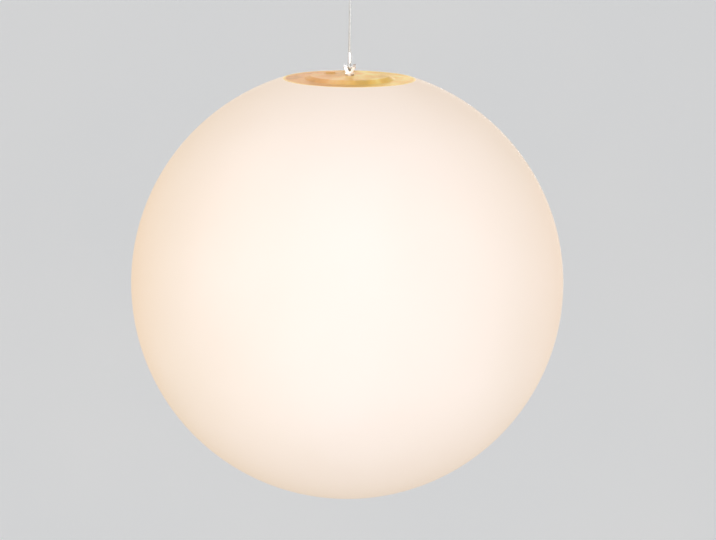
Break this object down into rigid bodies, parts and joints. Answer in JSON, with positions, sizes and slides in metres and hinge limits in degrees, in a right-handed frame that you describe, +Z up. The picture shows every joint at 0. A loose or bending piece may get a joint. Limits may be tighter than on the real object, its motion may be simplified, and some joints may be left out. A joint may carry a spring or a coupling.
{
  "type": "garden globe light",
  "caption": "Round opal globe light lit from within, with a flush golden cap and a forked stud, hung on a thin wire rope with crimped eyes and a small snap hook.",
  "frame": {"origin": "the seat of the snap hook's bow, where it hangs on a hook, ring or line", "axes": "+Z up along the rope and the axis of the globe, +X across the snap hook from its gate to its spine, -Y to the side seen in the picture"},
  "size_m": [0.3, 0.2998, 0.4177],
  "materials": {
    "opal": "satin, milky, lit from within",
    "gold": "satin moulded",
    "gold_button": "satin",
    "seal": "matt",
    "yoke_steel": "bright turned",
    "hook_steel": "tumbled",
    "rope_steel": "stranded wire",
    "crimp": "pressed",
    "fixings": "zinc plated",
    "white_plastic": "fine moulded texture",
    "plate": "plain sheet",
    "white_board": "satin",
    "lamp_chip": "clear over amber",
    "green_board": "satin",
    "chip": "matt",
    "socket": "satin",
    "cell_wrap": "shrink sleeve",
    "nickel": "plain strip",
    "lead": "satin"
  },
  "bodies": {
    "hook": {"snap_hook": "hook_steel", "gate_rivet": "yoke_steel"},
    "gate": {"snap_gate": "hook_steel"},
    "rope": {"rope_eye_upper": "rope_steel", "ferrule_upper": "crimp", "hanging_rope": "rope_steel", "ferrule_lower": "crimp", "rope_eye_lower": "rope_steel"},
    "head": {"hanger_yoke": "yoke_steel", "clevis_pin": "yoke_steel", "stud_washer": "fixings", "lock_nut": "fixings", "top_cap": "gold", "cap_gasket": "seal", "module_housing": "white_plastic", "housing_screws": "fixings", "control_board": "green_board", "board_chips": "chip", "tact_switch": "chip", "charge_socket": "socket", "battery_cells": "cell_wrap", "cell_strips": "nickel", "cell_cradle": "white_plastic", "cell_lead": "lead", "led_lead": "lead", "heat_plate": "plate", "led_board": "white_board", "leds": "lamp_chip"},
    "globe": {"globe_shell": "opal", "neck_ring": "white_plastic"},
    "button": {"push_button": "gold_button"},
    "plug": {"port_plug": "seal"}
  },
  "joints": [
    {"name": "gate_hinge", "type": "hinge", "parent": "hook", "child": "gate", "pos_m": [-0.00617, 0, -0.02635], "axis": [0, 1, 0], "range_deg": [0, 28], "stiffness_Nm_per_rad": 0.01, "springref_deg": -28.65},
    {"name": "rope_swing", "type": "hinge", "parent": "hook", "child": "rope", "pos_m": [0, 0, -0.034], "axis": [1, 0, 0], "range_deg": [-75, 75]},
    {"name": "lamp_swing", "type": "hinge", "parent": "rope", "child": "head", "pos_m": [0, 0, -0.1125], "axis": [1, 0, 0], "range_deg": [-75, 75]},
    {"name": "globe_twist", "type": "hinge", "parent": "head", "child": "globe", "pos_m": [0, 0, -0.2637], "axis": [0, 0, 1], "range_deg": [-45, 0]},
    {"name": "button_press", "type": "slide", "parent": "head", "child": "button", "axis": [0, 0, -1], "range_m": [0, 0.0006], "stiffness_N_per_m": 600, "springref_m": -0.0005},
    {"name": "plug_pull", "type": "slide", "parent": "head", "child": "plug", "axis": [0, 0, 1], "range_m": [0, 0.01]}
  ]
}
